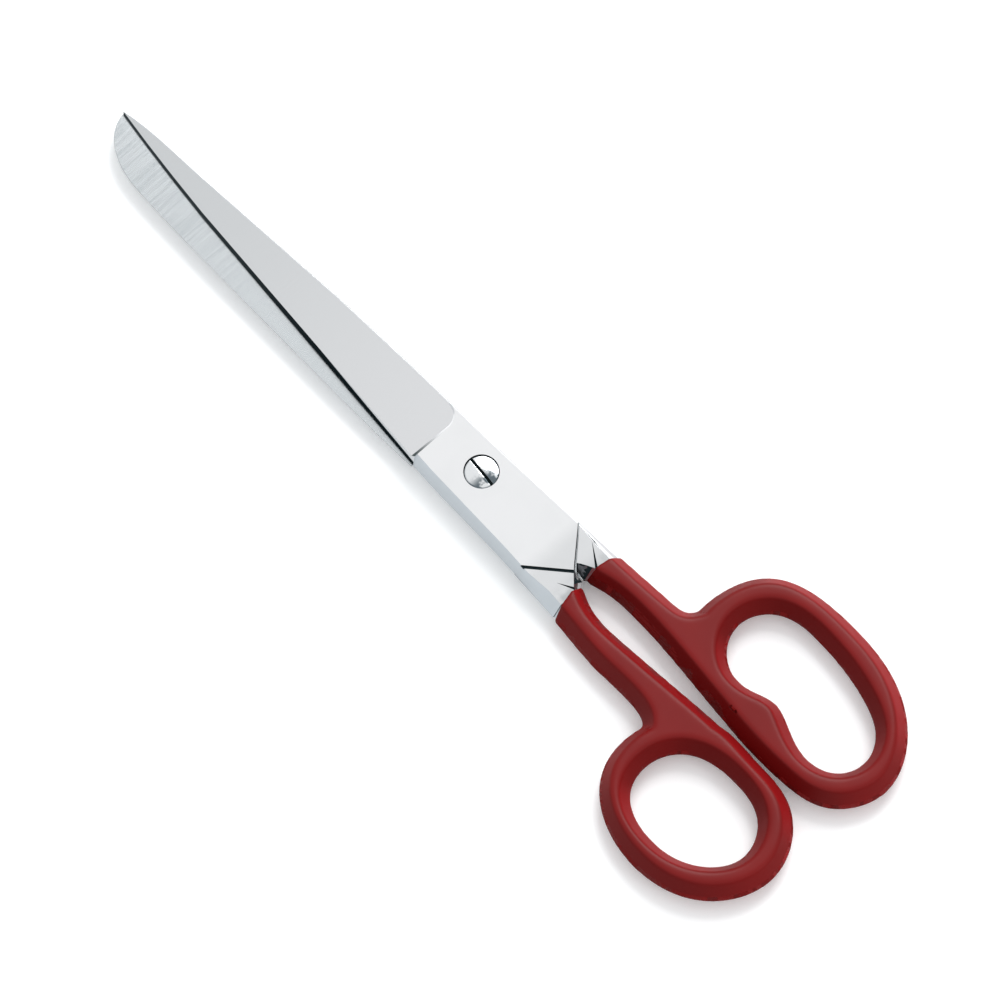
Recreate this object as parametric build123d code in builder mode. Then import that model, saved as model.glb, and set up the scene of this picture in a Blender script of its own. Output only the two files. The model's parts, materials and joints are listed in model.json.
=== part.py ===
from build123d import *
from math import atan2, cos, degrees, hypot, radians, tan
import os

# Fabric shears: two forged halves on one slotted screw, with vinyl-dipped bows.
# Origin on the pivot axis, at the plane the closed shears lie on. +X runs to the points,
# +Y to the side of the thumb bow, +Z up. Millimetres.

# Joint
joint_height = 8.6          # both plates together, and the full height of the bows
ride_gap = 0.04             # between the two ground inner faces
side_draft = 18.6           # lean of the forged sides, degrees
cross_gap = 0.5             # between a plate's rear edge and the other half's shoulder
cross_corner = (-29.5, -0.6)
cross_slope = 0.944         # X run of the crossing line for each millimetre of Y
crotch_x = -32.8            # where the two shanks part
groove_width = 0.75
groove_depth = 0.5
groove_ends = [(-31.1, 0.65), (-22.0, 8.8)]
crease_depth = 0.9          # forging creases in the shoulders, widening to the vinyl
crease_width = 0.8
thumb_crease = [(-30.2, 5.5), (-34.6, 2.8)]
finger_crease = [(-28.7, 6.5), (-34.6, 2.6)]

# Blades
blade_reach = 116.0         # pivot to the points
ricasso_x = 12.5            # where the grinding of the outer face starts
ricasso_lean = 38.0         # slope of the step there, degrees
ricasso_round = 4.0         # its rounded corner at the back
spine_height = 4.1          # of the ground face over the inner face, at the ricasso's back
edge_height = 3.1           # the same at the cutting edge
tip_height = 1.4
edge_lean = 6.0             # relief of the cutting edge, degrees
tip_fade = 26.0             # length over which the leaning sides run out at the point

# Handles
handle_draft = 33.0         # lean of the bars' sides, degrees
coat = 0.65                 # vinyl over the steel
coat_start_x = -34.4
drop_start_x = -30.4        # where the shoulders start to drop to the core under the vinyl

# Pivot screw and its lock nut
head_radius = 3.95
head_rim = 0.2
head_dome = 0.35
head_cone = 1.2
slot_width = 0.7
slot_depth = 0.9
slot_turn = -5.0            # how the slot was left when the joint was set, degrees
shoulder_radius = 2.75
thread_radius = 2.25
run_clearance = 0.05        # radial, screw in the upper plate
nut_radius = 4.2
nut_height = 1.6
nut_clearance = 0.1
spanner_slot = 1.0
spanner_depth = 0.5

# Outlines at the inner face, with a blade's back on -Y: how far each point stands along the blade,
# from 0 at the ricasso to 1 at the point, and how far it stands from the middle.
narrow_back = [(0, -7.25), (0.1208, -6.9), (0.3623, -5.8), (0.6039, -4.0), (0.8203, -2.2), (0.9517, -0.95)]
narrow_edge = [(0, 8.85), (0.2657, 7.05), (0.6039, 4.6), (0.8454, 2.15)]
broad_back = [(0, -9.5), (0.1208, -9.9), (0.372, -10.2), (0.6715, -10.3), (0.8164, -10.0), (0.8937, -9.3),
              (0.942, -7.6), (0.9768, -5.0)]
broad_edge = [(0, 6.6), (0.2657, 5.2), (0.6039, 3.0), (0.8454, 1.2)]

# Sides of the joint plates at the inner face, as distances from the middle.
thumb_side = [(-24, 9.95), (-12, 9.5), (0, 9.4), (ricasso_x, 9.0)]
finger_side = [(-24, 8.75), (-12, 8.2), (0, 7.6), (ricasso_x, 7.25)]
thumb_root = (10.45, 2.0)   # the steel bar where the vinyl starts: outer side, inner side
finger_root = (9.35, 1.6)

# Bows and finger holes at the parting line, over the vinyl, anticlockwise.
thumb_bow = [(-65.8, 20), (-70.0, 29.8), (-87.4, 36.9), (-105.1, 31.1), (-111.7, 17.7), (-109.9, 10.0),
             (-101.5, 2.0), (-88, 0.35), (-76, 1.3), (-68.2, 9.0)]
thumb_hole = [(-73.9, 20), (-77.0, 26.6), (-87.1, 29.7), (-97.5, 26.7), (-103.3, 18), (-99.4, 10.0),
              (-90, 7.5), (-78.6, 10.2)]
finger_bow = [(-55.0, -20), (-58.6, -6.5), (-76, -0.6), (-96, -0.1), (-107, -2.9), (-113.7, -14.6),
              (-110, -25), (-97, -34.2), (-79.7, -36.4), (-63.6, -33.4)]
finger_hole = [(-63.5, -18.3), (-66.2, -12.2), (-71.3, -9.4), (-76.0, -9.8), (-79.4, -11.1),
               (-82.6, -11.7), (-86.4, -10.8), (-90.4, -9.2), (-96.5, -8.0), (-103.0, -10.6),
               (-105.3, -16.3), (-102.6, -22.2), (-95.1, -26), (-79.7, -28.2), (-67.2, -25.6)]

# Shanks at the parting line, over the vinyl: outer side and inner side, from the joint back.
thumb_shank = [[(-30, 10.7), (-36.3, 11.1), (-49.4, 12.0), (-61, 11.8), (-65.0, 12.6), (-68, 17)],
               [(-30, -0.6), (-32.9, 0.45), (-38, 2.6), (-49.4, 3.1), (-66.6, 1.6), (-78, 0.75)]]
finger_shank = [[(-30, -9.7), (-34.6, -10.0), (-49.4, -11.0), (-53.4, -11.9), (-55.6, -15.5), (-58, -20)],
                [(-30, 1.0), (-32.9, 0.0), (-38, -1.6), (-47, -2.4), (-66.6, -1.3), (-78, -0.4)]]

plate = joint_height / 2
shear_z = plate
plate_span = 25.0           # more than the joint's full width
side_run = plate * tan(radians(side_draft))
edge_run = plate * tan(radians(edge_lean))
handle_run = plate * tan(radians(handle_draft))
core_height = plate - coat
core_inset = coat / cos(radians(handle_draft))

# Each half is drawn on its own inner face, with its blade's back on -y and its outside up.
upper_frame = Plane.XY.offset(shear_z)
lower_frame = Plane(origin=(0, 0, shear_z), x_dir=(1, 0, 0), z_dir=(0, 0, -1))


def leaned(side, run):
    """A blade side's points, moved across by run, less and less near the point."""
    points = [(ricasso_x + share * (blade_reach - ricasso_x), y) for share, y in side]
    return [(x, y + run * min(1, (blade_reach - x) / tip_fade)) for x, y in points]


def moved_in(points, run, closed=False):
    """Moves an outline's points to their left, square to the line through their neighbours."""
    moved = []
    last = len(points) - 1
    for i, (x, y) in enumerate(points):
        x0, y0 = points[i - 1] if closed else points[max(i - 1, 0)]
        x1, y1 = points[(i + 1) % len(points)] if closed else points[min(i + 1, last)]
        span = hypot(x1 - x0, y1 - y0)
        moved.append((x - run * (y1 - y0) / span, y + run * (x1 - x0) / span))
    return moved


def blade_block(frame, back, edge):
    """Blade from the ricasso to the point, at the plate's height, leaning in from its inner face."""
    point = (blade_reach, 0)
    with BuildPart() as block:
        for level, share in ((ride_gap / 2, 0), (plate, 1)):
            with BuildSketch(frame.offset(level)):
                with BuildLine():
                    back_line = leaned(back, share * side_run)
                    edge_line = leaned(edge, -share * edge_run)
                    Spline(*back_line, point)
                    Spline(*edge_line, point)
                    Line(back_line[0], edge_line[0])
                make_face()
        loft(ruled=True)
    return block.part


def ground_off(frame, back_y, edge_y):
    """All that the grinding takes off a blade: over the plane through its three face heights."""
    across = (edge_height - spine_height) / (edge_y - back_y)
    height = spine_height - across * back_y
    along = (tip_height - height) / (blade_reach - ricasso_x)
    face = Plane(origin=(ricasso_x, 0, height), x_dir=(1, 0, along), z_dir=(-along, -across, 1))
    far_x = blade_reach * 1.1
    with BuildPart() as block:
        for level, run in ((plate, 0), (0, plate * tan(radians(ricasso_lean)))):
            step_x = ricasso_x + run
            corner_y = back_y + side_run + run
            reach = ricasso_round - run
            middle = reach * (1 - cos(radians(45)))
            with BuildSketch(frame.offset(level)):
                with BuildLine():
                    ThreePointArc((step_x, corner_y + reach), (step_x + middle, corner_y + middle),
                                  (step_x + reach, corner_y))
                    Polyline((step_x + reach, corner_y), (step_x + reach, -plate_span),
                             (far_x, -plate_span), (far_x, plate_span), (step_x, plate_span),
                             (step_x, corner_y + reach))
                make_face()
        loft(ruled=True)
        split(bisect_by=Plane(frame.location * face.location), keep=Keep.TOP)
    return block.part


def plate_block(frame, back_side, handle_side):
    """Joint plate up to the ricasso, with both of its sides leaning in."""
    with BuildPart() as block:
        for level, run in ((ride_gap / 2, 0), (plate, side_run)):
            with BuildSketch(frame.offset(level)):
                with BuildLine():
                    low = [(x, run - y) for x, y in back_side]
                    high = [(x, y - run) for x, y in handle_side]
                    Spline(*low)
                    Spline(*high)
                    Line(low[0], high[0])
                    Line(low[-1], high[-1])
                make_face()
        loft(ruled=True)
    return block.part


def crossing_cut(frame, reach):
    """Prism behind the crossing line, where the other half's shoulder stands."""
    x, y = cross_corner
    with BuildPart() as block:
        with BuildSketch(frame):
            with BuildLine():
                Polyline((x, y), (x + reach * cross_slope, y - reach), (x - reach, y - reach),
                         (x - reach, y), close=True)
            make_face()
        extrude(amount=plate)
    return block.part


def shoulder_block(frame, root, outer_front, front_x):
    """Root of a handle at full height, from the crossing line back to the vinyl."""
    gap = cross_gap / 2
    outer_rear, inner_rear = root
    corner_x, corner_y = cross_corner
    rear = [(coat_start_x, outer_rear), (coat_start_x, inner_rear), (crotch_x, gap)]
    far_rear = [(coat_start_x, outer_rear - handle_run), (coat_start_x, inner_rear + handle_run),
                (crotch_x, gap + handle_run)]
    foot_y = corner_y - (front_x - corner_x) / cross_slope
    own_corner = [(corner_x, corner_y + gap), (front_x, foot_y)]
    own = rear + own_corner + [(front_x, outer_front)]
    own_far = far_rear + own_corner + [(front_x, outer_front - side_run)]
    other_corner = [(corner_x - gap, gap - corner_y)]
    meet_x = corner_x + (outer_front + corner_y) * cross_slope - 2 * gap
    other = rear + other_corner + [(meet_x, outer_front)]
    other_far = far_rear + other_corner + [(meet_x - side_run * cross_slope, outer_front - side_run)]
    with BuildPart() as block:
        for far_level, near_outline, far_outline in ((plate, own, own_far), (-plate, other, other_far)):
            for level, outline in ((ride_gap / 2, near_outline), (far_level, far_outline)):
                with BuildSketch(frame.offset(level)):
                    with BuildLine():
                        Polyline(*outline, close=True)
                    make_face()
            loft(ruled=True)
    return block.part


def drafted_loop(points, inset, rise, way):
    """Closed outline leaning both ways from the parting line; way is 1 for a bow, -1 for its hole."""
    with BuildPart() as block:
        for level, run in ((0, inset), (rise, inset + rise * tan(radians(handle_draft)))):
            with BuildSketch(Plane.XY.offset(shear_z + level)):
                with BuildLine():
                    Spline(*moved_in(points, way * run, closed=True), periodic=True)
                make_face()
        loft(ruled=True)
        mirror(about=Plane.XY.offset(shear_z))
    return block.part


def drafted_shank(sides, inset, rise, way):
    """Bar from the joint into the bow; way is 1 where its outer side has the larger Y."""
    outer, inner = sides
    with BuildPart() as block:
        for level, run in ((0, inset), (rise, inset + rise * tan(radians(handle_draft)))):
            with BuildSketch(Plane.XY.offset(shear_z + level)):
                with BuildLine():
                    outside = moved_in(outer, way * run)
                    inside = moved_in(inner, -way * run)
                    Spline(*outside)
                    Spline(*inside)
                    Line(outside[0], inside[0])
                    Line(outside[-1], inside[-1])
                make_face()
        loft(ruled=True)
        mirror(about=Plane.XY.offset(shear_z))
    return block.part


def handle_bar(bow, hole, shank, way, inset, rise):
    """Handle behind the start of the vinyl: its outside at no inset, its steel core at one."""
    with BuildPart() as bar:
        add(drafted_loop(bow, inset, rise, 1))
        add(drafted_shank(shank, inset, rise, way))
        add(drafted_loop(hole, inset, rise, -1), mode=Mode.SUBTRACT)
        split(bisect_by=Plane(origin=(coat_start_x, 0, 0), z_dir=(-1, 0, 0)), keep=Keep.TOP)
    return bar.part


def shoulder_drops():
    """Wedges over and under the shoulders, as deep as the vinyl where it starts."""
    with BuildPart() as wedges:
        with BuildSketch(Plane.XZ):
            with BuildLine():
                Polyline((drop_start_x, joint_height), (coat_start_x, joint_height - coat),
                         (coat_start_x, joint_height), close=True)
            make_face()
        extrude(amount=plate_span, both=True)
        mirror(about=Plane.XY.offset(shear_z))
    return wedges.part


def half_forging(frame, back, edge, back_side, handle_side, root, crease, core):
    """One forging: blade, joint plate, shoulder and the core of its handle."""
    (x0, y0), (x1, y1) = groove_ends
    groove = Location(((x0 + x1) / 2, (y0 + y1) / 2, 0), (0, 0, degrees(atan2(y1 - y0, x1 - x0))))
    with BuildPart() as half:
        add(blade_block(frame, back, edge))
        add(ground_off(frame, back[0][1], edge[0][1]), mode=Mode.SUBTRACT)
        add(plate_block(frame, back_side, handle_side))
        add(crossing_cut(frame, plate_span), mode=Mode.SUBTRACT)
        add(shoulder_block(frame, root, handle_side[0][1], handle_side[0][0]))
        add(shoulder_drops(), mode=Mode.SUBTRACT)
        with BuildSketch(frame.offset(plate)):
            with Locations(groove):
                Rectangle(hypot(x1 - x0, y1 - y0), groove_width)
        extrude(amount=-groove_depth, mode=Mode.SUBTRACT)
        for level, depth in ((plate, -crease_depth), (-plate, crease_depth)):
            with BuildSketch(frame.offset(level)):
                with BuildLine():
                    start, (x, y) = crease
                    Polyline(start, (x, y - crease_width / 2), (x, y + crease_width / 2), close=True)
                make_face()
            extrude(amount=depth, mode=Mode.SUBTRACT)
        add(core)
    return half.part


thumb_core = handle_bar(thumb_bow, thumb_hole, thumb_shank, 1, core_inset, core_height)
thumb_full = handle_bar(thumb_bow, thumb_hole, thumb_shank, 1, 0, plate)
finger_core = handle_bar(finger_bow, finger_hole, finger_shank, -1, core_inset, core_height)
finger_full = handle_bar(finger_bow, finger_hole, finger_shank, -1, 0, plate)

# The head's rim lies a dome's height under the plate, so the dome ends flush.
rim_z = joint_height - head_dome
dome_radius = (head_radius ** 2 + head_dome ** 2) / (2 * head_dome)
cone_z = rim_z - head_rim
shoulder_top = cone_z - head_cone

# Upper half: the narrow pointed blade and the thumb handle's core, bored for the screw.
with BuildPart() as upper_blade:
    add(half_forging(upper_frame, narrow_back, narrow_edge, finger_side, thumb_side, thumb_root,
                     thumb_crease, thumb_core))
    with BuildSketch(Plane.XZ):
        with BuildLine():
            Polyline((0, 0), (shoulder_radius + run_clearance, 0),
                     (shoulder_radius + run_clearance, shoulder_top - run_clearance),
                     (head_radius + run_clearance, cone_z - run_clearance),
                     (head_radius + run_clearance, joint_height + plate),
                     (0, joint_height + plate), close=True)
        make_face()
    revolve(axis=Axis.Z, mode=Mode.SUBTRACT)
upper_blade.part.label = "upper_blade"
os.makedirs("parts", exist_ok=True)
export_step(upper_blade.part, "parts/upper_blade.step")

# Lower half: the broad blunt blade and the finger handle's core, tapped, with a seat for the nut.
with BuildPart() as lower_blade:
    add(half_forging(lower_frame, broad_back, broad_edge, thumb_side, finger_side, finger_root,
                     finger_crease, finger_core))
    with BuildSketch(Plane.XY):
        Circle(thread_radius)
    extrude(amount=shear_z, mode=Mode.SUBTRACT)
    with BuildSketch(Plane.XY):
        Circle(nut_radius + nut_clearance)
    extrude(amount=nut_height, mode=Mode.SUBTRACT)
lower_blade.part.label = "lower_blade"
export_step(lower_blade.part, "parts/lower_blade.step")

# Dipped vinyl over the thumb handle's core.
with BuildPart() as thumb_grip:
    add(thumb_full)
    add(thumb_core, mode=Mode.SUBTRACT)
thumb_grip.part.label = "thumb_grip"
export_step(thumb_grip.part, "parts/thumb_grip.step")

# Dipped vinyl over the finger handle's core.
with BuildPart() as finger_grip:
    add(finger_full)
    add(finger_core, mode=Mode.SUBTRACT)
finger_grip.part.label = "finger_grip"
export_step(finger_grip.part, "parts/finger_grip.step")

# Pivot screw: slotted oval head, countersunk, with a plain shoulder and a threaded end.
with BuildPart() as pivot_screw:
    with BuildSketch(Plane.XZ):
        with BuildLine():
            Polyline((head_radius, rim_z), (head_radius, cone_z), (shoulder_radius, shoulder_top),
                     (shoulder_radius, shear_z), (thread_radius, shear_z), (thread_radius, 0),
                     (0, 0), (0, joint_height))
            RadiusArc((0, joint_height), (head_radius, rim_z), dome_radius)
        make_face()
    revolve(axis=Axis.Z)
    with BuildSketch(Plane.XY.offset(joint_height)):
        Rectangle(head_radius * 2.2, slot_width, rotation=slot_turn)
    extrude(amount=-slot_depth, mode=Mode.SUBTRACT)
pivot_screw.part.label = "pivot_screw"
export_step(pivot_screw.part, "parts/pivot_screw.step")

# Lock nut: round, flush in the lower half, with a slot for a forked driver.
with BuildPart() as lock_nut:
    with BuildSketch(Plane.XY):
        Circle(nut_radius)
        Circle(thread_radius, mode=Mode.SUBTRACT)
    extrude(amount=nut_height)
    with BuildSketch(Plane.XY):
        Rectangle(nut_radius * 2.2, spanner_slot)
    extrude(amount=spanner_depth, mode=Mode.SUBTRACT)
lock_nut.part.label = "lock_nut"
export_step(lock_nut.part, "parts/lock_nut.step")
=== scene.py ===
import json
from math import cos, hypot, radians, sin

import bpy
from mathutils import Matrix, Vector

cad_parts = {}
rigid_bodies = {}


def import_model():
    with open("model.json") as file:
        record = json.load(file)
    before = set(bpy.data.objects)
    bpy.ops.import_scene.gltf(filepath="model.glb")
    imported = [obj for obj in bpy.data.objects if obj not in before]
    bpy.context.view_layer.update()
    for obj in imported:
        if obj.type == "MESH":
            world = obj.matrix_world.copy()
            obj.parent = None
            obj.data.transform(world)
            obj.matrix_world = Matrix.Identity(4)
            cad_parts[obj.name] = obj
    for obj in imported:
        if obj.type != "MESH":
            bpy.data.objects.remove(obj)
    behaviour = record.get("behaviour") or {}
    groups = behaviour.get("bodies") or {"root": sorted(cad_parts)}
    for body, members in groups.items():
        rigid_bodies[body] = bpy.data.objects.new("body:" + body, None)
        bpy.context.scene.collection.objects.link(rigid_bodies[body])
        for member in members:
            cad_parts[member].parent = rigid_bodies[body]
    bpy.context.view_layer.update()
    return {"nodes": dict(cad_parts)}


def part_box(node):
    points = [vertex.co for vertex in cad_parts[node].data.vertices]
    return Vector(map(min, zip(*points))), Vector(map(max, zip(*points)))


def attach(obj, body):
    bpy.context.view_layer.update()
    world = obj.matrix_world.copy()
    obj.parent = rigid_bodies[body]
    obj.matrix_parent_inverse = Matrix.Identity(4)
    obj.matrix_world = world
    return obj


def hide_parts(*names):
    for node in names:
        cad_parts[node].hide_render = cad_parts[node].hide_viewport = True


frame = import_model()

MM = 0.001


# Lower half: the forging with the broad blunt blade, which lies underneath, and the finger handle's
# root. Nickel-plated steel, forged, then buffed bright at the joint and ground on the blade. The
# cutting edge, gaps and grooves have a dark matt finish, which stands in for the shade in them.
SHEAR_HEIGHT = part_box("lower_blade")[1].z / 2   # the plane between the halves
PLATE = SHEAR_HEIGHT
RICASSO_X = 12.5 * MM                           # grinding of the outer face starts here
POINT_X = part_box("upper_blade")[1].x
STEP_END_X = 17 * MM
CROSSING_X = -20 * MM                           # behind this, upright faces are gaps and grooves
CROTCH_X = -31.9 * MM                           # the shoulders' walls between the two vinyls
CROTCH_SPREAD = 2.6 * MM
LIP_SPREAD = 7.6 * MM                           # of the broken edges along gaps and grooves
CORE_END_X = -38 * MM                           # the steel is hidden by the vinyl long before
SCREW_SEAT = 4.15 * MM
NUT_SEAT = 4.4 * MM
BREAK_WIDTH = 0.11 * MM                         # the small round on every worked edge
BREAK_ANGLE = radians(24)                       # edges sharper than this are worked
BREAK_STEPS = 2
ARRIS_HEIGHT = 0.15 * MM                        # of the arris round each inner face, painted dark as seam shade
LEVEL = 0.9999                                  # how straight up or down a level face's normal is
SAME_PLACE = 0.001 * MM
SMOOTH_ANGLE = radians(50)                      # sharper edges than this stay creased
EVEN_WEIGHT = 100                               # large faces alone set the normals round them


class Wire:
    """One output of a finish's nodes; sums written with it add the nodes that work them out."""

    def __init__(self, finish, socket):
        self.finish = finish
        self.socket = socket

    def math(self, operation, *terms):
        return self.finish.node("ShaderNodeMath", {"operation": operation}, dict(enumerate(terms)))

    def __add__(self, other):
        return self.math("ADD", self, other)

    def __mul__(self, other):
        return self.math("MULTIPLY", self, other)

    def __rsub__(self, other):
        return self.math("SUBTRACT", other, self)

    def root(self):
        return self.math("SQRT", self)

    def size(self):
        return self.math("ABSOLUTE", self)

    def between(self, low, high):
        """0 at low, 1 at high, and no more outside them."""
        return self.finish.node("ShaderNodeMapRange", {"interpolation_type": "SMOOTHSTEP"},
                                {"Value": self, "From Min": low, "From Max": high})


class Finish:
    """A material on one Principled shader, whose constants go straight on its own sockets."""

    def __init__(self, name, **constants):
        self.material = bpy.data.materials.new(name)
        self.material.use_nodes = True
        self.tree = self.material.node_tree
        self.shader = self.tree.nodes["Principled BSDF"]
        for socket, value in constants.items():
            self.shader.inputs[socket.replace("_", " ")].default_value = value
        self.place = self.node("ShaderNodeTexCoord", output="Object")
        self.x, self.y, self.z = (self.node("ShaderNodeSeparateXYZ", {}, {0: self.place}, axis)
                                  for axis in "XYZ")

    def node(self, kind, settings=None, sockets=None, output=0):
        """Any other node: its settings first, then the values or wires of its sockets."""
        new = self.tree.nodes.new(kind)
        for setting, value in (settings or {}).items():
            setattr(new, setting, value)
        self.fill(new, sockets or {})
        return Wire(self, new.outputs[output])

    def fill(self, node, sockets):
        for socket, value in sockets.items():
            if isinstance(value, Wire):
                self.tree.links.new(value.socket, node.inputs[socket])
            else:
                node.inputs[socket].default_value = value

    def drive(self, **sockets):
        self.fill(self.shader, {name.replace("_", " "): value for name, value in sockets.items()})

    def cloud(self, scale, detail=2.0, stretch=(1, 1, 1)):
        """Soft uneven pattern; stretch above 1 on an axis packs it closer that way."""
        place = self.node("ShaderNodeMapping", {}, {"Vector": self.place, "Scale": stretch})
        return self.node("ShaderNodeTexNoise", {}, {"Vector": place, "Scale": scale, "Detail": detail})

    def tint(self, share, first, second):
        """The first colour where share is 0 and the second where it is 1."""
        ends = [end if isinstance(end, Wire) else (*end, 1) for end in (first, second)]
        return self.node("ShaderNodeMix", {"data_type": "RGBA"}, {0: share, 6: ends[0], 7: ends[1]}, 2)

    def facing(self, axis):
        """How far the surface faces along an axis, from -1 to 1."""
        normal = self.node("ShaderNodeTexCoord", output="Normal")
        return self.node("ShaderNodeSeparateXYZ", {}, {0: normal}, axis)

    def relief(self, height, depth):
        self.drive(Normal=self.node("ShaderNodeBump", {}, {"Height": height, "Distance": depth}))


buffed = Finish("buffed_nickel", Metallic=1.0, Specular_IOR_Level=0.6)
# Painted shade: the shoulders are painted darker towards the vinyl, in a cloud from x -30.5 mm to -34.2 mm
# and evenly behind x -21 mm; haze is random tone.
to_vinyl = buffed.x.between(-30.5 * MM, -34.2 * MM)
shade = to_vinyl * buffed.cloud(320, 1.0).between(0.3, 0.62)
haze = buffed.cloud(90, 2.0).between(0.35, 0.75)
painted_shoulder_shade = buffed.x.between(-21 * MM, -26 * MM) * 0.3
shade_and_haze = shade * 0.6 + haze * 0.12 + painted_shoulder_shade
buffed.drive(Base_Color=buffed.tint(shade_and_haze, (0.90, 0.905, 0.91), (0.50, 0.52, 0.53)),
             Roughness=haze * 0.02 + 0.09)
buffed.relief(buffed.cloud(140, 1.0), 0.003 * MM)

forged = Finish("forged_nickel", Specular_IOR_Level=0.0)
forged_cloud = forged.cloud(160, 2.0, (0.4, 1, 1))
# Painted light and shade: sides facing +y are painted dark grey-blue as the reflection of the shaded board,
# and backs facing -y are painted light. The lower part of the backs is painted darker and matt as shade.
# forged_cloud is random tone.
forged_back = forged.facing("Y").between(0.2, -0.2)
back_foot_shade = forged_back * forged.z.between(SHEAR_HEIGHT + 2.4 * MM, SHEAR_HEIGHT + 1.4 * MM)
shaded_side_steel = forged.tint(forged_cloud, (0.38, 0.41, 0.435), (0.44, 0.47, 0.495))
lit_back_and_foot_shade = forged.tint(back_foot_shade, (0.80, 0.81, 0.82), (0.50, 0.50, 0.51))
forged.drive(Base_Color=forged.tint(forged_back, shaded_side_steel, lit_back_and_foot_shade),
             Roughness=forged_cloud * 0.15 + 0.24, Metallic=1 - back_foot_shade)
forged.relief(forged.cloud(900, 1.0, (0.5, 1, 1)), 0.01 * MM)

ground = Finish("ground_outer_face", Metallic=1.0)
tip_share = ground.x.between(RICASSO_X - 20 * MM, POINT_X)
lay = ground.cloud(100, 2.0, (30, 0.6, 0.6))
ground.drive(Base_Color=ground.tint(tip_share * 0.85 + lay * 0.15, (0.765, 0.77, 0.78), (0.61, 0.63, 0.64)),
             Roughness=lay * 0.05 + 0.12)
ground.relief(lay, 0.004 * MM)

inner = Finish("ground_inner_face", Metallic=1.0)
marks = inner.cloud(60, 1.5, (30, 1.2, 1))
nose_share = inner.x.between(50 * MM, 100 * MM) * inner.y.between(-2 * MM, 4 * MM)
inner.drive(Base_Color=inner.tint(marks.between(0.3, 0.7) * (nose_share * 0.8 + 0.2),
                                  (0.575, 0.605, 0.62), (0.46, 0.49, 0.505)),
            Roughness=marks * 0.05 + 0.12)

edge = Finish("cutting_edge", Specular_IOR_Level=0.0)
edge_cloud = edge.cloud(300, 1.0, (1, 1, 4))
# Painted shade and reflection: the cutting edge's wall is painted near black at the joint and dark grey
# towards the point; only its highest band keeps a steel colour.
painted_dark_edge = edge.tint(edge.x.between(30 * MM, POINT_X + 6 * MM), (0.006, 0.011, 0.013), (0.055, 0.068, 0.074))
land_share = (edge.z + edge.x * -0.036).between(SHEAR_HEIGHT + 0.8 * MM, SHEAR_HEIGHT + 1.15 * MM)
edge.drive(Base_Color=edge.tint(land_share, painted_dark_edge, (0.60, 0.62, 0.635)),
           Roughness=edge_cloud * 0.15 + 0.2)

step = Finish("ricasso_step", Specular_IOR_Level=0.0)
# Painted shade: the ricasso step is painted near black at its +y end, turning to steel colour towards -y.
step_share = step.y.between(8.5 * MM, -2.5 * MM) + step.cloud(400, 1.0) * 0.06
step.drive(Base_Color=step.tint(step_share, (0.035, 0.05, 0.05), (0.78, 0.79, 0.80)),
           Roughness=step.cloud(700, 1.0) * 0.2 + 0.3)

# Painted shade: gaps, grooves, the crotch walls, the screw's seat, the bores and the slots are painted near
# black.
gap = Finish("gap_and_groove", Specular_IOR_Level=0.0)
gap.drive(Base_Color=gap.tint(gap.cloud(500, 1.0), (0.008, 0.016, 0.019), (0.025, 0.036, 0.04)),
          Roughness=gap.cloud(700, 1.0) * 0.2 + 0.3)

# Painted shade: the arris along the seam between the halves is painted near black.
arris = Finish("arris", Specular_IOR_Level=0.0)
arris.drive(Base_Color=arris.tint(arris.cloud(300, 1.0), (0.035, 0.04, 0.042), (0.075, 0.08, 0.085)),
            Roughness=arris.cloud(500, 1.0) * 0.2 + 0.3)

STEEL_FINISHES = [buffed, forged, ground, inner, edge, step, gap, arris]


def select_only(piece):
    """Selects one piece, and makes it the active one."""
    bpy.ops.object.select_all(action="DESELECT")
    piece.select_set(True)
    bpy.context.view_layer.objects.active = piece


def copy_of(node, name):
    """A loose copy of a frame node's mesh, merged so that it can be worked on."""
    mesh = frame["nodes"][node].data.copy()
    mesh.materials.clear()
    piece = bpy.data.objects.new(name, mesh)
    bpy.context.scene.collection.objects.link(piece)
    select_only(piece)
    bpy.ops.object.mode_set(mode="EDIT")
    bpy.ops.mesh.select_all(action="SELECT")
    bpy.ops.mesh.remove_doubles(threshold=SAME_PLACE)
    bpy.ops.mesh.select_mode(type="FACE")
    bpy.ops.mesh.select_all(action="DESELECT")
    bpy.ops.object.mode_set(mode="OBJECT")
    return piece


def apply(piece, kind, **settings):
    """Adds a modifier to a piece and applies it."""
    modifier = piece.modifiers.new(kind.lower(), kind)
    for setting, value in settings.items():
        setattr(modifier, setting, value)
    select_only(piece)
    bpy.ops.object.modifier_apply(modifier=modifier.name)


def smooth(piece, flat_faces=lambda face: False):
    """Shades a piece smooth over its small breaks, so that its large faces stay flat."""
    bpy.ops.object.shade_smooth_by_angle(angle=SMOOTH_ANGLE)
    for face in piece.data.polygons:
        if flat_faces(face):
            face.use_smooth = False
    apply(piece, "WEIGHTED_NORMAL", mode="FACE_AREA", weight=EVEN_WEIGHT, keep_sharp=True)


def steel_surface(centre, normal, outward):
    """Which of STEEL_FINISHES a face has, seen from its own half with the blade's back on -y."""
    height = (centre.z - SHEAR_HEIGHT) * outward
    up, across = normal.z * outward, normal.y * outward
    reach = hypot(centre.x, centre.y)
    if reach < NUT_SEAT and abs(up) < 0.9 and (reach < SCREW_SEAT or height > 0):
        return gap
    if centre.x < CROSSING_X:
        floor = abs(up) > 0.99 and 0.75 * PLATE < abs(height) < 0.92 * PLATE
        crotch = centre.x < CROTCH_X and abs(centre.y) < CROTCH_SPREAD and abs(up) < 0.7
        if abs(up) < 0.05 or floor or crotch:
            return gap
    if abs(up) > 0.9 and abs(height) < 0.05 * PLATE:
        return inner
    if centre.x > RICASSO_X + 0.01 * MM:
        if across > 0.6:
            return edge
        if normal.x > 0.3 and centre.x < STEP_END_X and up > 0.3:
            return step
        if up > 0.9 and height < 0.97 * PLATE:
            return ground
    return forged if abs(across) > 0.6 else buffed


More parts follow.
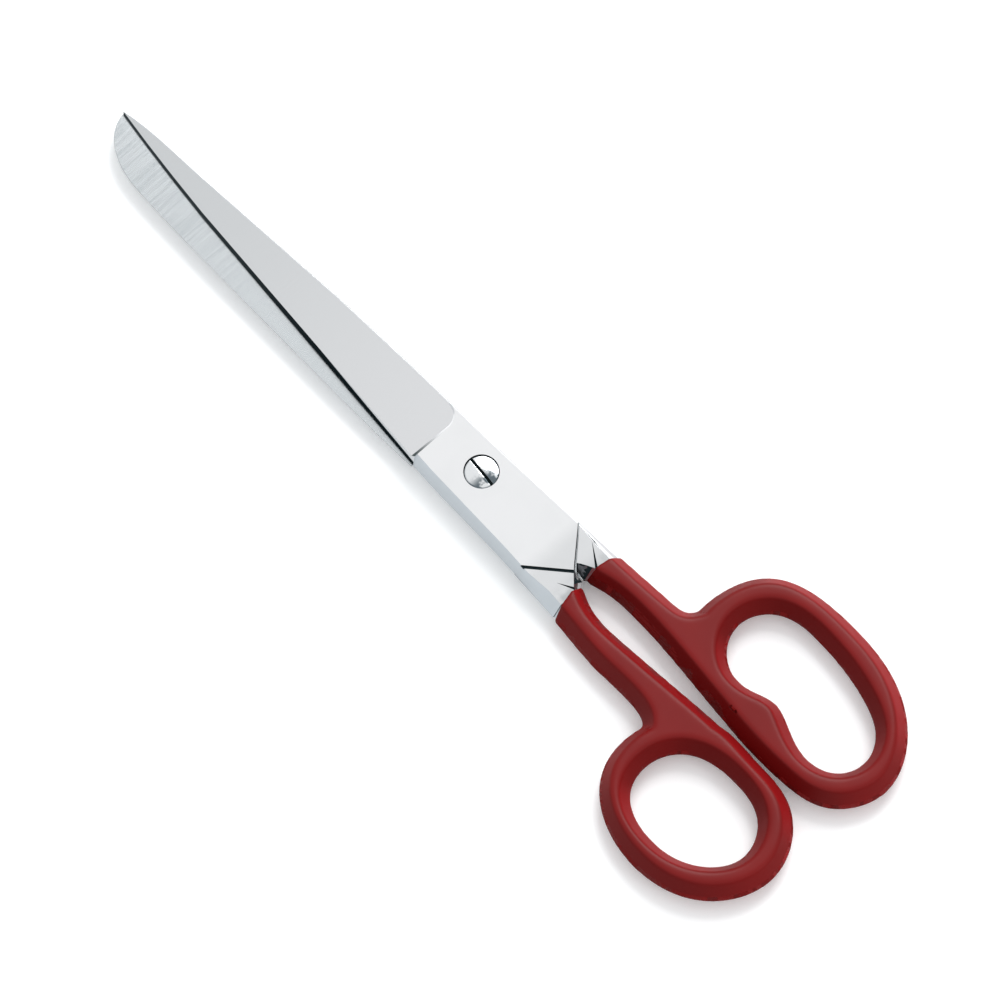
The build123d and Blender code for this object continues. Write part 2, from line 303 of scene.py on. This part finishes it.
def steel_half(node, name, outward):
    """One forging, its faces given their finishes and its edges broken."""
    piece = copy_of(node, name)
    bpy.ops.object.mode_set(mode="EDIT")
    bpy.ops.mesh.select_all(action="SELECT")
    bpy.ops.mesh.bisect(plane_co=(CORE_END_X, 0, 0), plane_no=(1, 0, 0), use_fill=True, clear_inner=True)
    bpy.ops.mesh.select_all(action="SELECT")
    bpy.ops.mesh.dissolve_limited(angle_limit=radians(1))
    bpy.ops.object.mode_set(mode="OBJECT")
    for finish in STEEL_FINISHES:
        piece.data.materials.append(finish.material)
    for face in piece.data.polygons:
        finish = steel_surface(face.center, face.normal, outward)
        face.material_index = STEEL_FINISHES.index(finish)
    apply(piece, "BEVEL", width=BREAK_WIDTH, segments=BREAK_STEPS, limit_method="ANGLE",
          angle_limit=BREAK_ANGLE)
    # The arris at the seam and the lips along gaps and grooves are painted dark as shade.
    for face in piece.data.polygons:
        height, tilt = abs(face.center.z - SHEAR_HEIGHT), abs(face.normal.z)
        if height < ARRIS_HEIGHT and tilt < 0.95:
            face.material_index = STEEL_FINISHES.index(arris)
        lip = face.center.x < CROSSING_X and height > 0.85 * PLATE and 0.1 < tilt < 0.95
        if lip and abs(face.center.y) < LIP_SPREAD:
            face.material_index = STEEL_FINISHES.index(gap)
    apply(piece, "TRIANGULATE")
    ground_index = STEEL_FINISHES.index(ground)
    smooth(piece, lambda face: abs(face.normal.z) > LEVEL or face.material_index == ground_index)
    return piece


lower_steel = steel_half("lower_blade", "lower_blade_steel", -1)
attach(lower_steel, "lower_half")
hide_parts("lower_blade")


# Upper half: the forging with the narrow pointed blade and the thumb handle's root. The same steel
# and the same work as the lower half; it turns on the screw.
upper_steel = steel_half("upper_blade", "upper_blade_steel", 1)
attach(upper_steel, "upper_half")
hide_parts("upper_blade")


# Pivot screw: turned steel, nickel-plated, with an oval countersunk head and one slot. It is driven
# down through the upper half and tightened in the lower half's thread.
HEAD_RADIUS = 3.87 * MM
HEAD_RIM_Z = 8.25 * MM
HEAD_TOP_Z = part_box("pivot_screw")[1].z
HEAD_CONE_Z = 8.05 * MM
CONE_FOOT_Z = 6.85 * MM
SHOULDER_RADIUS = 2.75 * MM
THREAD_RADIUS = 2.25 * MM
SLOT = Vector((12, 0.72, 1.8)) * MM
SLOT_TURN = radians(-5)
SLOT_FLOOR_Z = 7.7 * MM
TURNED_SIDES = 96
TURNED_BREAK = 0.06 * MM
TURNED_ANGLE = radians(30)
DOME_RINGS = (0.92, 0.8, 0.65, 0.5, 0.35, 0.2, 0.08)   # shares of the head's radius

turned = Finish("turned_nickel", Metallic=1.0)
# Painted shade and reflection: a dark ring is painted round the head's rim, and a dark patch on its -x side
# is a painted reflection.
turned_reach = (turned.x * turned.x + turned.y * turned.y).root()
rim_share = turned_reach.between(3.45 * MM, 3.8 * MM)
turned_cloud = turned.cloud(700, 2.0)
painted_dark_reflection = turned.cloud(520, 2.0).between(0.4, 0.56) * turned.x.between(0.8 * MM, -2.0 * MM)
turned.drive(Base_Color=turned.tint(rim_share * 0.8 + painted_dark_reflection, (0.82, 0.84, 0.85), (0.13, 0.16, 0.18)),
             Roughness=turned_cloud * 0.1 + 0.08)
turned.relief(turned.cloud(300, 1.0), 0.03 * MM)


def rise(z, radius, last_z, last_radius):
    """Extrudes the selected end face up to the next shoulder of a turned piece."""
    bpy.ops.mesh.extrude_region_move(TRANSFORM_OT_translate={"value": (0, 0, z - last_z)})
    share = radius / last_radius
    bpy.ops.transform.resize(value=(share, share, 1), center_override=(0, 0, z))


def turned_piece(name, profile, finishes):
    """A solid of revolution from (height, radius) pairs, lowest first."""
    bpy.ops.object.select_all(action="DESELECT")
    z, radius = profile[0]
    bpy.ops.mesh.primitive_circle_add(vertices=TURNED_SIDES, radius=radius, fill_type="NGON",
                                      location=(0, 0, 0))
    piece = bpy.context.object
    piece.name = name
    bpy.ops.object.mode_set(mode="EDIT")
    bpy.ops.mesh.select_all(action="SELECT")
    bpy.ops.transform.translate(value=(0, 0, z))
    for next_z, next_radius in profile[1:]:
        rise(next_z, next_radius, z, radius)
        z, radius = next_z, next_radius
    bpy.ops.mesh.select_all(action="SELECT")
    bpy.ops.mesh.normals_make_consistent(inside=False)
    bpy.ops.object.mode_set(mode="OBJECT")
    for finish in finishes:
        piece.data.materials.append(finish.material)
    return piece


def cut_slot(piece, size, centre_z, turn):
    """Mills a straight slot across a turned piece."""
    bpy.ops.object.select_all(action="DESELECT")
    bpy.ops.mesh.primitive_cube_add(size=1, location=(0, 0, centre_z), rotation=(0, 0, turn), scale=size)
    cutter = bpy.context.object
    # The slot's faces take the gaps' painted shade.
    cutter.data.materials.append(gap.material)
    apply(piece, "BOOLEAN", object=cutter, operation="DIFFERENCE", solver="EXACT",
          material_mode="TRANSFER")
    bpy.data.objects.remove(cutter)


dome_radius = (HEAD_RADIUS ** 2 + (HEAD_TOP_Z - HEAD_RIM_Z) ** 2) / (2 * (HEAD_TOP_Z - HEAD_RIM_Z))
profile = [(0, THREAD_RADIUS), (PLATE, THREAD_RADIUS), (PLATE, SHOULDER_RADIUS),
           (CONE_FOOT_Z, SHOULDER_RADIUS), (HEAD_CONE_Z, HEAD_RADIUS), (HEAD_RIM_Z, HEAD_RADIUS)]
for share in DOME_RINGS:
    reach = HEAD_RADIUS * share
    drop = dome_radius - (dome_radius ** 2 - reach ** 2) ** 0.5
    profile.append((HEAD_TOP_Z - drop, reach))
screw = turned_piece("pivot_screw_turned", profile, [turned, gap])
cut_slot(screw, SLOT, SLOT_FLOOR_Z + SLOT.z / 2, SLOT_TURN)
apply(screw, "BEVEL", width=TURNED_BREAK, segments=BREAK_STEPS, limit_method="ANGLE",
      angle_limit=TURNED_ANGLE)
smooth(screw)
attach(screw, "lower_half")
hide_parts("pivot_screw")


# Lock nut: a round steel nut sunk flush in the lower half, with a slot for a forked driver. It holds
# the screw at the tightness that it was set to.
NUT_RADIUS = 4.15 * MM
NUT_TOP_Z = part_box("lock_nut")[1].z
NUT_SLOT = Vector((12, 1.0, 1.0)) * MM
NUT_HOLE = 2.27 * MM
NUT_BREAK = 0.08 * MM

nut = turned_piece("lock_nut_turned", [(0, NUT_RADIUS), (NUT_TOP_Z, NUT_RADIUS)], [turned, gap])
bpy.ops.object.select_all(action="DESELECT")
bpy.ops.mesh.primitive_cylinder_add(vertices=TURNED_SIDES, radius=NUT_HOLE, depth=NUT_TOP_Z * 3)
bore = bpy.context.object
# The bore's faces take the gaps' painted shade.
bore.data.materials.append(gap.material)
apply(nut, "BOOLEAN", object=bore, operation="DIFFERENCE", solver="EXACT", material_mode="TRANSFER")
bpy.data.objects.remove(bore)
cut_slot(nut, NUT_SLOT, 0, 0)
apply(nut, "BEVEL", width=NUT_BREAK, segments=BREAK_STEPS, limit_method="ANGLE",
      angle_limit=TURNED_ANGLE)
smooth(nut)
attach(nut, "lower_half")
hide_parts("lock_nut")


# Thumb grip: the upper half's handle, dipped in dark red vinyl, which rounds every ridge of the bar
# and bow under it and ends in a soft slanted lip on the steel.
SKIN_GRAIN = 0.3 * MM
SKIN_PASSES = 30
SKIN_PULL = 0.5                # how far each pass draws the skin to its neighbours' middle
LIP_REACH = 2.4 * MM           # how far forward the dip is drawn before its lip is cut
THUMB_LIP = [(-35.1 * MM, 10.6 * MM), (-32.7 * MM, 0.6 * MM)]   # outer end, inner end

vinyl = Finish("dipped_vinyl", Specular_IOR_Level=0.1, Coat_Roughness=0.3)
depth_cloud = vinyl.cloud(70, 2.0)
flat_share = vinyl.facing("Z").size().between(0.6, 1.0)
# Painted light and shade: the vinyl's sides facing +y are painted darker and its sides facing -y brighter,
# as the key light falls; depth_cloud is random tone.
lit_side_share = vinyl.facing("Y").between(-0.35, -0.75)
body_red = vinyl.tint(depth_cloud.between(0.3, 0.7), (0.172, 0.0036, 0.0036), (0.15, 0.003, 0.003))
painted_side_shade = vinyl.facing("Y").between(0.25, 0.85)
shaded_side_red = vinyl.tint(painted_side_shade, body_red, (0.115, 0.002, 0.002))
vinyl.drive(Base_Color=vinyl.tint(lit_side_share * 0.7, shaded_side_red, (0.28, 0.006, 0.008)),
            Roughness=vinyl.cloud(260, 2.0) * 0.14 + 0.45, Coat_Weight=flat_share * 0.2)
vinyl.relief(vinyl.cloud(140, 2.0), 0.03 * MM)


def dipped_grip(node, name, lip_outer, lip_inner):
    """The vinyl over a handle: its outside, closed at a lip on a slanted line, and softened."""
    piece = copy_of(node, name)
    mesh = piece.data
    front_x = max(vertex.co.x for vertex in mesh.vertices)
    top_z = max(vertex.co.z for vertex in mesh.vertices)
    for face in mesh.polygons:
        face.select = face.normal.x > 0.9 and face.center.x > front_x - 0.02 * MM
    bpy.ops.object.mode_set(mode="EDIT")
    bpy.ops.mesh.delete(type="FACE")
    bpy.ops.mesh.select_mode(type="VERT")
    bpy.ops.mesh.select_all(action="DESELECT")
    bpy.ops.object.mode_set(mode="OBJECT")
    top = next(vertex for vertex in mesh.vertices if vertex.co.z > top_z - SAME_PLACE)
    top.select = True
    bpy.ops.object.mode_set(mode="EDIT")
    bpy.ops.mesh.select_linked()
    bpy.ops.mesh.select_all(action="INVERT")
    bpy.ops.mesh.delete(type="VERT")
    bpy.ops.mesh.select_all(action="DESELECT")
    bpy.ops.mesh.select_non_manifold()
    bpy.ops.mesh.extrude_edges_move(TRANSFORM_OT_translate={"value": (LIP_REACH, 0, 0)})
    bpy.ops.mesh.edge_face_add()
    along = Vector(lip_inner) - Vector(lip_outer)
    lip_normal = Vector((abs(along.y), along.x * (-1 if along.y > 0 else 1), 0)).normalized()
    bpy.ops.mesh.select_all(action="SELECT")
    bpy.ops.mesh.bisect(plane_co=(*lip_inner, 0), plane_no=lip_normal, use_fill=True, clear_outer=True,
                        threshold=SAME_PLACE)
    bpy.ops.mesh.select_all(action="SELECT")
    bpy.ops.mesh.normals_make_consistent(inside=False)
    bpy.ops.object.mode_set(mode="OBJECT")
    mesh.remesh_voxel_size = SKIN_GRAIN
    select_only(piece)
    bpy.ops.object.voxel_remesh()
    apply(piece, "SMOOTH", factor=SKIN_PULL, iterations=SKIN_PASSES)
    bpy.ops.object.shade_smooth()
    piece.data.materials.clear()
    piece.data.materials.append(vinyl.material)
    return piece


thumb_vinyl = dipped_grip("thumb_grip", "thumb_grip_vinyl", *THUMB_LIP)
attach(thumb_vinyl, "upper_half")
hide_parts("thumb_grip")


# Finger grip: the lower half's longer handle, dipped the same way, with the finger rest on the
# inner side of its hole.
FINGER_LIP = [(-34.1 * MM, -9.7 * MM), (-32.65 * MM, 0)]        # outer end, inner end

finger_vinyl = dipped_grip("finger_grip", "finger_grip_vinyl", *FINGER_LIP)
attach(finger_vinyl, "lower_half")
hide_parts("finger_grip")


# The board: a matt white sheet that the closed shears lie flat on, lit weakly from within so that
# the shadows on it stay pale.
bpy.ops.object.select_all(action="DESELECT")
bpy.ops.mesh.primitive_plane_add(size=6.0, location=(0, 0, 0))
board = bpy.context.object
board.name = "board"
paper = Finish("matt_board", Specular_IOR_Level=0.1, Emission_Strength=0.15)
paper.drive(Base_Color=paper.tint(paper.cloud(6), (0.925, 0.94, 0.945), (0.935, 0.95, 0.95)),
            Roughness=paper.cloud(9) * 0.05 + 0.85,
            Emission_Color=paper.tint(paper.cloud(6), (0.99, 0.99, 1), (1, 1, 1)))
board.data.materials.append(paper.material)


# Light: a white room, brightest overhead, one soft box over the blades' backs and a small window
# behind the bows.
world = bpy.data.worlds.new("studio")
bpy.context.scene.world = world
world.use_nodes = True
sky = world.node_tree
aim = sky.nodes.new("ShaderNodeTexCoord")
axes = sky.nodes.new("ShaderNodeSeparateXYZ")
height = sky.nodes.new("ShaderNodeMapRange")
height.inputs["From Min"].default_value = 0.0
height.inputs["From Max"].default_value = 0.9
height.inputs["To Min"].default_value = 0.75
height.inputs["To Max"].default_value = 0.93
sky.links.new(aim.outputs["Generated"], axes.inputs[0])
sky.links.new(axes.outputs["Z"], height.inputs["Value"])
sky.links.new(height.outputs["Result"], sky.nodes["Background"].inputs["Strength"])
sky.nodes["Background"].inputs["Color"].default_value = (0.985, 0.99, 1, 1)


def soft_box(name, power, side, place):
    """A square lamp at a place, facing the pivot."""
    lamp = bpy.data.lights.new(name, "AREA")
    lamp.energy = power
    lamp.size = side
    stand = bpy.data.objects.new(name, lamp)
    bpy.context.scene.collection.objects.link(stand)
    stand.location = place
    stand.rotation_mode = "QUATERNION"
    stand.rotation_quaternion = (-Vector(place)).to_track_quat("-Z", "Y")


soft_box("key_box", 7.5, 0.6, (0.28, -0.62, 0.78))
soft_box("window_box", 0.5, 0.12, (-0.85, -0.2, 0.5))


# Camera: above the shears, tilted a little, with the points to the upper left.
TILT = radians(20)
TURN = radians(132.7)
LENS = 1500
SENSOR = 36
VIEW_SPAN = 0.2188
AIM_RIGHT = 4.05 * MM
AIM_DOWN = 6.64 * MM

flat_up = Vector((sin(TURN), cos(TURN), 0))
right = Vector((cos(TURN), -sin(TURN), 0))
back = Vector((0, 0, cos(TILT))) - sin(TILT) * flat_up
up = flat_up * cos(TILT) + Vector((0, 0, sin(TILT)))
aim_at = Vector((0, 0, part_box("pivot_screw")[1].z)) + AIM_RIGHT * right - AIM_DOWN * flat_up
lens_data = bpy.data.cameras.new("view")
lens_data.lens = LENS
lens_data.sensor_width = SENSOR
lens_data.clip_end = 50
view = bpy.data.objects.new("view", lens_data)
bpy.context.scene.collection.objects.link(view)
view.location = aim_at + back * (VIEW_SPAN / SENSOR * LENS)
view.rotation_mode = "QUATERNION"
view.rotation_quaternion = Matrix((right, up, back)).transposed().to_quaternion()
bpy.context.scene.camera = view
bpy.context.scene.view_settings.view_transform = "Standard"
